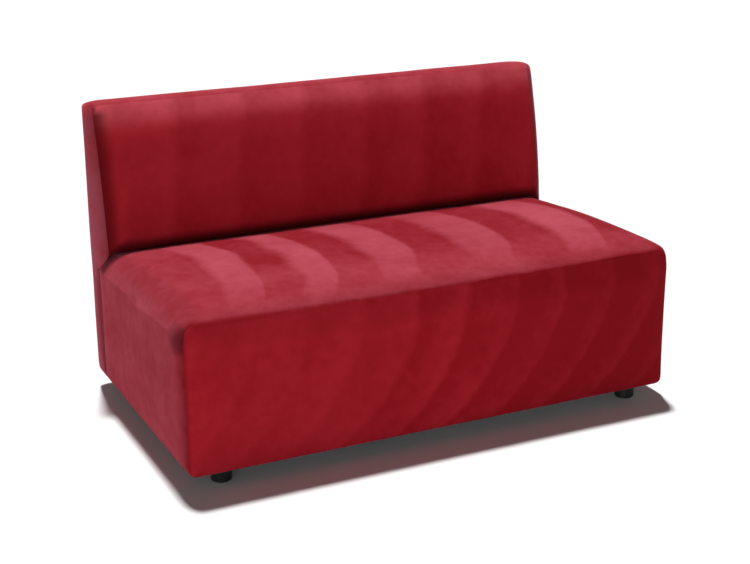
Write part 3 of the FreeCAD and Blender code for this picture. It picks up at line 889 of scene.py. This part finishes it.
def seat_nap(s):
    off = s.math("SUBTRACT", s.y, STROKE_TURN_Y)
    along = s.total(s.x, s.product(off, off, STROKE_BEND), wander(s, STROKE_WANDER))
    span = s.node("ShaderNodeMapRange", Value=along, From_Min=-STROKE_SPAN, From_Max=STROKE_SPAN)
    strokes = s.product(
        s.ramp(span.outputs["Result"], band_stops(SEAT_STROKES)),
        s.ease(s.apart(s.x, FAINT_X), *FAINT_RANGE),
        s.ease(s.apart(s.y, FULL_Y), *FULL_RANGE),
        s.patches(*STROKE_PATCHES),
    )
    slant = s.math("MULTIPLY_ADD", s.x, PALE_SLANT, s.y)
    brushed = s.most(strokes, s.ease(slant, *PALE_FRONT), s.ease(s.x, *PALE_LEFT))
    top = s.product(s.ease(s.y, *TOP_Y), s.ease(s.z, *TOP_Z))
    rise = s.product(s.ease(s.z, *SEAT_RISE), s.ease(s.math("ABSOLUTE", s.x), *SEAT_INWARD))
    plain = s.product(s.total(rise, s.patches(*SEAT_PATCHES)), s.ease(s.x, *SEAT_RIGHT))
    rest = s.product(plain, s.math("SUBTRACT", 1.0, top))
    return s.product(s.math("MULTIPLY_ADD", brushed, top, rest), s.ease(s.y, *SEAT_EDGE))


def brushed_row(s, along, first, pitch):
    # Strokes side by side: each grows paler towards its right edge and ends there
    turn = s.math("DIVIDE", s.math("SUBTRACT", s.total(along, wander(s, ROW_WANDER)), first), pitch)
    return s.math("SUBTRACT", s.ramp(s.math("FRACT", turn), ROW_PROFILE), 0.5)


def front_nap(s):
    # Slanted strokes that bend, strong on the right and faint on the left, over a painted falloff
    # darker to the right
    rise = s.math("SUBTRACT", s.z, FRONT_LEAN_Z)
    lean = s.product(s.math("MULTIPLY_ADD", rise, FRONT_CURVE, FRONT_LEAN), rise)
    row = brushed_row(s, s.total(s.x, lean), *FRONT_ROW)
    return s.total(s.ease(s.x, *FRONT_LEVEL), s.product(row, s.ease(s.x, *FRONT_STRENGTH)))


def back_nap(s):
    # Upright strokes over a painted falloff darker to the right, and pile turned up along the top with
    # a painted sheen
    along = s.math("MULTIPLY_ADD", s.math("SUBTRACT", s.z, BACK_LEAN_Z), BACK_LEAN, s.x)
    row = brushed_row(s, along, *BACK_ROW)
    high = s.ease(s.total(s.z, s.patches(*BACK_TOP_PATCHES)), *BACK_TOP)
    return s.total(s.ease(s.x, *BACK_LEVEL), high, s.product(row, BACK_STRENGTH))


def plain_nap(s):
    return s.patches(*PLAIN_PATCHES)


def boxing_nap(s):
    return s.patches(*BOXING_PATCHES)


# Painted shade: darkening that each panel gets in its creases, seams and joints with the next piece

# Seat, painted shade: along the back, over the ends and more down the front seams, at the front
# corners, under the back's lip, left rim
SEAT_BEHIND = (JOINT - 0.020, JOINT - 0.003, 0.0, 0.45)
SEAT_AHEAD = (FRONT + 0.050, FRONT + 0.008, 0.16, 0.42)
BELOW_TOP = (0.42, 0.34)
CORNER_Z = 0.365
CORNER_HEIGHT = (0.060, 0.012)
CORNER_DEPTH = (FRONT + 0.130, FRONT + 0.020, 0.0, 0.75)
UNDER_LIP = (LIP_Y - 0.020, LIP_Y - 0.002, 0.0, 0.75)
UNDER_LIP_Z = (0.34, 0.36)
LEFT_RIM = (0.080 - END, 0.030 - END, 0.0, 0.22)
LEFT_RIM_Z = (0.33, 0.37)

# Back, painted shade: in the crease with the seat, above that crease, and along the left seam
BACK_CREASE = (LIP_FRONT + 0.054, LIP_FRONT + 0.008, 0.0, 0.88)
BACK_LOW = (LIP_FRONT + 0.200, LIP_FRONT + 0.030, 0.0, 0.16)
BACK_LEFT = (0.064 - END, 0.018 - END, 0.0, 0.8)
BACK_LEFT_Z = (0.765, 0.745)

# Front, painted shade: along both end seams, along the top seam, and growing to the right as a painted
# falloff of light
FRONT_RIM = (END - 0.016, END - 0.002, 0.0, 0.5)
FRONT_BROW_Z = (SEAT_FRONT_TOP - 0.028, SEAT_FRONT_TOP - 0.014)
FRONT_BROW = (-0.40, 0.10, 0.28, 0.50)
FRONT_RIGHT = (-0.10, 0.60, 0.0, 0.27)

# Boxing, painted shade: beside the joint with the seat, and a light one over all of it below the top
BOXING_JOINT = (0.036, 0.006, 0.0, 0.45)
BOXING_JOINT_Z = (LIP_FRONT - 0.015, LIP_FRONT - 0.045)
BOXING_LOW = (HEIGHT - 0.015, HEIGHT - 0.050, 0.0, 0.12)


def no_painted_shade(s):
    return 0.0


def seat_painted_shade(s):
    behind = s.ease(s.y, *SEAT_BEHIND)
    ahead = s.product(s.ease(s.y, *SEAT_AHEAD), s.ease(s.z, *BELOW_TOP))
    corner = s.product(s.ease(s.apart(s.z, CORNER_Z), *CORNER_HEIGHT), s.ease(s.y, *CORNER_DEPTH))
    under = s.product(s.ease(s.y, *UNDER_LIP), s.ease(s.z, *UNDER_LIP_Z))
    rim = s.product(s.ease(s.x, *LEFT_RIM), s.ease(s.z, *LEFT_RIM_Z))
    return s.most(behind, ahead, corner, under, rim)


def back_painted_shade(s):
    left = s.product(s.ease(s.x, *BACK_LEFT), s.ease(s.z, *BACK_LEFT_Z))
    return s.most(s.ease(s.z, *BACK_CREASE), s.ease(s.z, *BACK_LOW), left)


def front_painted_shade(s):
    rim = s.ease(s.math("ABSOLUTE", s.x), *FRONT_RIM)
    brow = s.product(s.ease(s.z, *FRONT_BROW_Z), s.ease(s.x, *FRONT_BROW))
    return s.most(rim, brow, s.ease(s.x, *FRONT_RIGHT))


def boxing_painted_shade(s):
    joint = s.product(s.ease(s.apart(s.y, JOINT), *BOXING_JOINT), s.ease(s.z, *BOXING_JOINT_Z))
    return s.most(joint, s.ease(s.z, *BOXING_LOW))


# Stuffing, frame and feet
FOOT_BLACK = (0.004, 0.004, 0.0045)
FOOT_SCUFF = (0.010, 0.010, 0.011)


def shaded(colour, share):
    return tuple(share * c for c in colour)


def foam_look(name, colour, cell):
    s = Shader(name, Roughness=0.95, Sheen_Weight=0.15)
    cells = s.node("ShaderNodeTexVoronoi", Vector=s.place, Scale=cell).outputs["Distance"]
    worn = s.total(cells, s.product(s.noise(9.0, 3.0), 0.4))
    s.colour(s.ramp(worn, ((0.15, shaded(colour, 0.72)), (0.8, colour))))
    s.bump(cells, strength=0.5, distance=0.0008)
    return s.material


def fibre_look(name, colour, scale):
    s = Shader(name, Roughness=0.97, Sheen_Weight=0.3)
    strands = s.noise(scale, 6.0)
    s.colour(s.ramp(strands, ((NOISE_LOW, shaded(colour, 0.6)), (NOISE_HIGH, colour))))
    s.bump(strands, strength=0.6, distance=0.0006)
    return s.material


def wood_look(name, early, late, ring):
    # Rings drawn out along the width, bent a little, with fine pores
    s = Shader(name, Specular_IOR_Level=0.3)
    bent = s.total(s.z, s.product(s.noise(3.0, 2.0), 0.05))
    stretched = s.joined(s.product(s.x, 4.0), s.product(s.y, ring), s.product(bent, ring))
    rings = s.noise(1.0, 3.0, stretched)
    pores = s.noise(420.0, 2.0)
    s.colour(s.ramp(rings, ((0.32, late), (0.5, early), (0.68, shaded(early, 0.85)))))
    s.roughness(s.ease(pores, NOISE_LOW, NOISE_HIGH, 0.55, 0.8))
    s.bump(s.total(rings, pores), strength=0.2, distance=0.0005)
    return s.material


def woven_look(name, colour, pitch):
    s = Shader(name, Roughness=0.85, Sheen_Weight=0.2)
    turn = 2 * math.pi / pitch
    warp, weft = [s.math("SINE", s.product(side, turn)) for side in (s.x, s.z)]
    weave = s.product(warp, weft)
    worn = s.ease(s.total(weave, s.product(s.noise(25.0, 3.0), 0.8)), -1.0, 1.6)
    s.colour(s.ramp(worn, ((0.2, shaded(colour, 0.5)), (0.8, colour))))
    s.bump(weave, strength=0.5, distance=0.0004)
    return s.material


def steel_look(name, colour, roughness):
    s = Shader(name, Metallic=1.0)
    cloud = s.noise(90.0, 4.0)
    s.colour(s.ramp(cloud, ((0.25, shaded(colour, 0.7)), (0.75, colour))))
    s.roughness(s.ease(cloud, 0.2, 0.8, roughness - 0.08, roughness + 0.12))
    s.bump(s.noise(900.0, 2.0), strength=0.08, distance=0.0002)
    return s.material


def plastic_look(name, colour, scuffed):
    s = Shader(name, Specular_IOR_Level=0.28)
    scuff = s.noise(60.0, 5.0)
    s.colour(s.ramp(scuff, ((NOISE_LOW, colour), (0.75, scuffed))))
    s.roughness(s.ease(scuff, NOISE_LOW, NOISE_HIGH, 0.36, 0.52))
    s.bump(s.noise(1400.0, 2.0), strength=0.12, distance=0.0003)
    return s.material


def dress_frame():
    looks = {
        "felt": fibre_look("grey_felt", (0.16, 0.155, 0.15), 260.0),
        "wadding": fibre_look("white_wadding", (0.82, 0.82, 0.80), 120.0),
        "foam": foam_look("cream_foam", (0.78, 0.70, 0.48), 420.0),
        "plywood": wood_look("birch_plywood", (0.60, 0.42, 0.24), (0.42, 0.27, 0.14), 60.0),
        "block_wood": wood_look("softwood_blocks", (0.55, 0.37, 0.20), (0.36, 0.22, 0.11), 35.0),
        "hardboard": fibre_look("brown_hardboard", (0.20, 0.12, 0.065), 180.0),
        "webbing": woven_look("black_webbing", (0.045, 0.045, 0.05), 0.004),
        "spring_steel": steel_look("oiled_spring_wire", (0.22, 0.22, 0.23), 0.38),
        "zinc_steel": steel_look("zinc_plated_steel", (0.55, 0.56, 0.58), 0.30),
        "foot_plastic": plastic_look("black_moulded_plastic", FOOT_BLACK, FOOT_SCUFF),
        "cover_fabric": velvet("red_velvet_cover", pink_pile_and_sheen, plain_nap, no_painted_shade,
                               seam_shade=0.0, sheen=0.5),
        "dust_cloth": fibre_look("black_dust_cloth", (0.022, 0.022, 0.024), 500.0),
    }
    for part in frame["record"]["subparts"]:
        mesh = frame["nodes"][part["node"]].data
        mesh.materials.clear()
        mesh.materials.append(looks[part["material_slot"]])
    return looks


# Dust cover: points along its width and depth, round holes for the foot stems, and its sag
SHEET_COLUMNS, SHEET_ROWS = 71, 41
STEM_HOLE = 0.012
HOLE_POINTS = 24
HOLE_CLEAR = 1.25 * STEM_HOLE
HOLE_INSIDE = 0.97 * STEM_HOLE
SHEET_SAG = 0.0008
SAG_RATE = 6
SAG_ROW = 1.7
TAUT_RUN = 0.1


def sheet_sag(point, centres):
    # Hangs down only, and is taut round the stems
    slack = min(1, min((point - c).length for c in centres) / TAUT_RUN)
    wave = noise.noise(Vector((point.x * SAG_RATE, point.y * SAG_RATE, SAG_ROW)))
    return SHEET_SAG * (wave - 1) * slack


def make_dust_cover(look):
    low, high = SHEET_LOW, SHEET_HIGH
    level = (low.z + high.z) / 2
    stems = [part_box(n) for n in frame["nodes"] if n.startswith("foot_stem")]
    centres = [((box[0] + box[1]) / 2).xy for box in stems]
    turns = np.linspace(0, 2 * math.pi, HOLE_POINTS, endpoint=False)
    ring = [Vector((math.cos(a), math.sin(a))) * STEM_HOLE for a in turns]
    across = np.linspace(low.x, high.x, SHEET_COLUMNS)
    along = np.linspace(low.y, high.y, SHEET_ROWS)
    flat = [Vector((x, y)) for x in across for y in along]
    flat = [p for p in flat if all((p - c).length > HOLE_CLEAR for c in centres)]
    flat += [c + r for c in centres for r in ring]
    points, _, faces, *_ = geometry.delaunay_2d_cdt(flat, [], [], 0, 1e-6)
    middles = [sum((points[k] for k in f), Vector((0, 0))) / 3 for f in faces]
    faces = [f for f, m in zip(faces, middles) if all((m - c).length > HOLE_INSIDE for c in centres)]
    mesh = bpy.data.meshes.new("dust_sheet")
    mesh.from_pydata([(p.x, p.y, level + sheet_sag(p, centres)) for p in points], [], faces)
    mesh.shade_smooth()
    mesh.materials.append(look)
    sheet = bpy.data.objects.new("dust_sheet", mesh)
    bpy.context.collection.objects.link(sheet)
    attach(sheet, "sofa_body")
    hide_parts("dust_cover")


# Upholstery, floor, light and camera


def place_panel(panel, look, fill, *nodes):
    panel.data.materials.clear()
    panel.data.materials.append(look)
    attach(panel, "sofa_body")
    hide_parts(*nodes)


def make_upholstery():
    top, front = make_seat()
    inside, boxing, outside = make_back()
    seat_look = velvet("red_velvet_seat", pink_pile_and_sheen, seat_nap, seat_painted_shade, seam_shade=1.0, sheen=0.25)
    front_look = velvet("red_velvet_front", red_pile, front_nap, front_painted_shade, seam_shade=0.3, sheen=0.08)
    back_look = velvet("red_velvet_back", back_pile_and_sheen, back_nap, back_painted_shade, seam_shade=1.0, sheen=0.12)
    side_look = velvet("red_velvet_boxing", side_pile_and_sheen, boxing_nap, boxing_painted_shade, seam_shade=0.35, sheen=0.36)
    rear_look = velvet("red_velvet_outside", red_pile, plain_nap, no_painted_shade, seam_shade=0.6, sheen=0.35)
    place_panel(top, seat_look, 0.9,
                "seat_top_cover", "seat_wadding", "seat_foam", "seat_left_pad", "seat_right_pad")
    place_panel(front, front_look, 0.85, "seat_front_cover", "seat_front_pad")
    place_panel(inside, back_look, 0.85, "back_front_cover", "back_foam")
    place_panel(boxing, side_look, 0.8,
                "back_boxing_cover", "back_left_pad", "back_right_pad", "back_top_pad")
    place_panel(outside, rear_look, 0.7, "back_rear_cover")


# Studio: half the floor's side and its two greys, and the height and level of the wall's edge
FLOOR_REACH = 30.0
FLOOR_DARK = (0.89, 0.89, 0.89)
FLOOR_LIGHT = (0.90, 0.90, 0.90)
WALL_COLOUR = (1.0, 0.99, 0.98, 1.0)
WALL_EDGE = {"From Min": 0.20, "From Max": 0.29, "To Min": 1.0, "To Max": 0.02}

# Lamps: energy, spread in degrees, and a place that they shine from
KEY_LIGHT = (3.55, 4.0, (0.17, 0.70, 2.70))
FILL_LIGHT = (0.88, 10.0, (-2.2, -2.6, 0.28))


def make_floor():
    s = Shader("pale_floor", Specular_IOR_Level=0.1)
    s.colour(s.ramp(s.noise(1.5, 4.0), ((NOISE_LOW, FLOOR_DARK), (NOISE_HIGH, FLOOR_LIGHT))))
    s.roughness(s.patches(30.0, 3.0, 0.8, 0.9))
    mesh = bpy.data.meshes.new("floor")
    corners = [(x * FLOOR_REACH, y * FLOOR_REACH, 0) for x, y in ((-1, -1), (1, -1), (1, 1), (-1, 1))]
    mesh.from_pydata(corners, [], [(0, 1, 2, 3)])
    mesh.materials.append(s.material)
    floor = bpy.data.objects.new("floor", mesh)
    bpy.context.collection.objects.link(floor)


def aimed(place, target):
    return (Vector(target) - Vector(place)).to_track_quat("-Z", "Y").to_euler()


def make_lamp(name, energy, spread, place):
    lamp = bpy.data.lights.new(name, "SUN")
    lamp.energy = energy
    lamp.angle = math.radians(spread)
    obj = bpy.data.objects.new(name, lamp)
    obj.location = place
    obj.rotation_euler = aimed(place, (0.0, 0.0, 0.0))
    bpy.context.collection.objects.link(obj)


def make_light():
    # A white wall all round that ends 12 to 17 degrees up, a dark ceiling above it, and two lamps
    world = bpy.data.worlds.new("studio")
    world.use_nodes = True
    tree = world.node_tree
    place = tree.nodes.new("ShaderNodeTexCoord")
    parts = tree.nodes.new("ShaderNodeSeparateXYZ")
    level = tree.nodes.new("ShaderNodeMapRange")
    level.interpolation_type = "SMOOTHSTEP"
    for key, value in WALL_EDGE.items():
        level.inputs[key].default_value = value
    tree.links.new(place.outputs["Generated"], parts.inputs["Vector"])
    tree.links.new(parts.outputs["Z"], level.inputs["Value"])
    tree.links.new(level.outputs["Result"], tree.nodes["Background"].inputs["Strength"])
    tree.nodes["Background"].inputs["Color"].default_value = WALL_COLOUR
    bpy.context.scene.world = world
    make_lamp("key_light", *KEY_LIGHT)
    make_lamp("fill_light", *FILL_LIGHT)


# Camera: place in metres; turn right, tilt down and roll in radians; lens and sensor in millimetres
CAMERA_PLACE = (-1.611, -3.349, 1.549)
CAMERA_TURN = 0.4469
CAMERA_TILT = 0.3236
CAMERA_ROLL = -0.0049
CAMERA_LENS = 71.85
CAMERA_SENSOR = 36.0


def make_camera():
    ahead = Vector((math.sin(CAMERA_TURN) * math.cos(CAMERA_TILT),
                    math.cos(CAMERA_TURN) * math.cos(CAMERA_TILT), -math.sin(CAMERA_TILT)))
    level = Vector((math.cos(CAMERA_TURN), -math.sin(CAMERA_TURN), 0.0))
    rise = level.cross(ahead)
    right = level * math.cos(CAMERA_ROLL) + rise * math.sin(CAMERA_ROLL)
    up = rise * math.cos(CAMERA_ROLL) - level * math.sin(CAMERA_ROLL)
    data = bpy.data.cameras.new("camera")
    data.lens = CAMERA_LENS
    data.sensor_width = CAMERA_SENSOR
    data.sensor_fit = "HORIZONTAL"
    camera = bpy.data.objects.new("camera", data)
    pose = Matrix((right, up, -ahead)).transposed().to_4x4()
    pose.translation = CAMERA_PLACE
    camera.matrix_world = pose
    bpy.context.collection.objects.link(camera)
    bpy.context.scene.camera = camera


bpy.context.scene.view_settings.view_transform = "Standard"
looks = dress_frame()
make_dust_cover(looks["dust_cloth"])
make_upholstery()
make_floor()
make_light()
make_camera()
